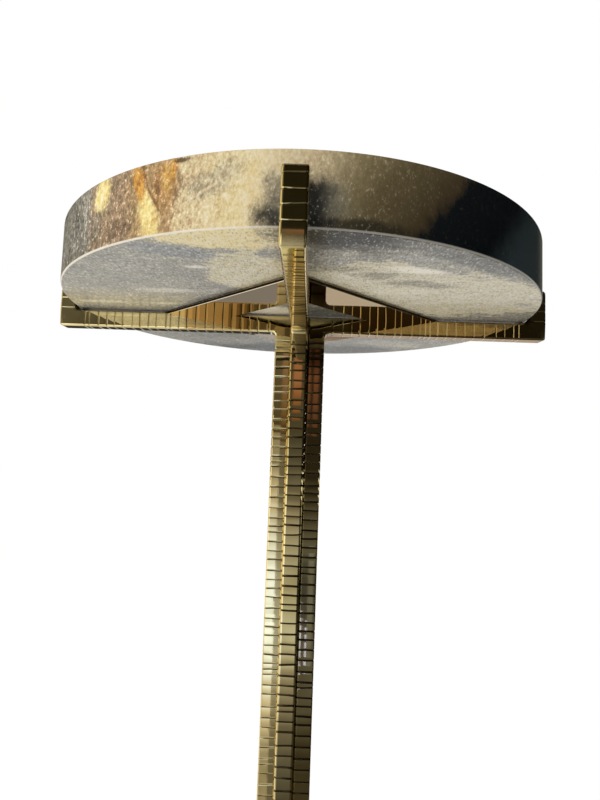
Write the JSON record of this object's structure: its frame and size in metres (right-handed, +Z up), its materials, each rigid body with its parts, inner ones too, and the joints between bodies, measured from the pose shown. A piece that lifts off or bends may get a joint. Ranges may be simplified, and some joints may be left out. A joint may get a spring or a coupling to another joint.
{
  "type": "wine table",
  "caption": "Small round drinks table: thick stone slab held by upturned ends of a cross of grooved square brass bars on a cruciform stem with a cross base.",
  "frame": {"origin": "on the floor under the middle of the stem", "axes": "+Z up along the stem; +X and -Y along two of the arms, -Y towards the viewer of the picture"},
  "size_m": [0.326, 0.326, 0.55],
  "materials": {
    "stone": "natural veined stone, polished top and rim, honed underside",
    "adhesive": "cured dark adhesive",
    "textured_brass": "antique brass, hand-cut cross grooves, lacquered",
    "polished_brass": "mirror polished",
    "felt": "pressed brown felt"
  },
  "bodies": {
    "root": {"stone_top": "stone", "bond_pads": "adhesive", "stem_core": "textured_brass", "strap_back_right": "polished_brass", "strap_back_left": "polished_brass", "strap_front_left": "polished_brass", "strap_front_right": "polished_brass", "arm_right": "textured_brass", "arm_back": "textured_brass", "arm_left": "textured_brass", "arm_front": "textured_brass", "tab_right": "textured_brass", "tab_back": "textured_brass", "tab_left": "textured_brass", "tab_front": "textured_brass", "leg_right": "textured_brass", "leg_back": "textured_brass", "leg_left": "textured_brass", "leg_front": "textured_brass", "foot_right": "textured_brass", "foot_back": "textured_brass", "foot_left": "textured_brass", "foot_front": "textured_brass", "felt_right": "felt", "felt_back": "felt", "felt_left": "felt", "felt_front": "felt"}
  },
  "joints": []
}
